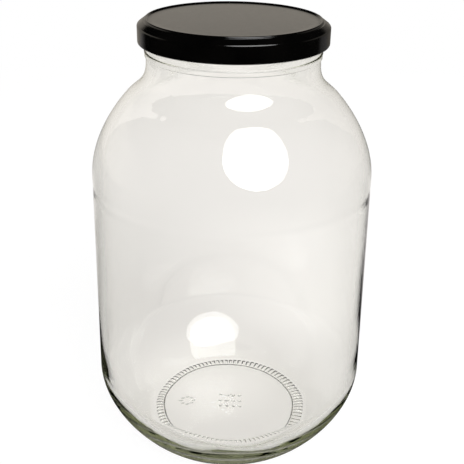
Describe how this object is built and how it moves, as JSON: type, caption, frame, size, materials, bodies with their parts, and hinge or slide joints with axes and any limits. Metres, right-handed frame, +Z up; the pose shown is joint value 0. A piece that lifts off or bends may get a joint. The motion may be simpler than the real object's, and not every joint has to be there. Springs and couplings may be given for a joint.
{
  "type": "preserving jar",
  "caption": "Large round clear glass preserving jar with a tall domed shoulder, a short wide neck and a black twist-off lug cap with a sealing ring.",
  "frame": {"origin": "centre of the foot ring on the surface that the jar stands on", "axes": "+Z up along the jar's axis; +X points at one cap lug"},
  "size_m": [0.1638, 0.1638, 0.2578],
  "materials": {
    "clear_glass": "clear flint glass with a faint green-grey tint where it is thick, glossy",
    "black_enamel": "satin black enamel on tinplate",
    "sealing_compound": "matt flowed-in plastisol"
  },
  "bodies": {
    "jar": {"glass_jar": "clear_glass"},
    "seal_carrier": {"sealing_ring": "sealing_compound"},
    "cap": {"cap_shell": "black_enamel"}
  },
  "joints": [
    {"name": "cap_lift", "type": "slide", "parent": "jar", "child": "seal_carrier", "axis": [0, 0, 1], "range_m": [0, 0.1]},
    {"name": "cap_turn", "type": "hinge", "parent": "seal_carrier", "child": "cap", "pos_m": [0, 0, 0.25], "axis": [0, 0, 1], "range_deg": [-30, 0]}
  ]
}
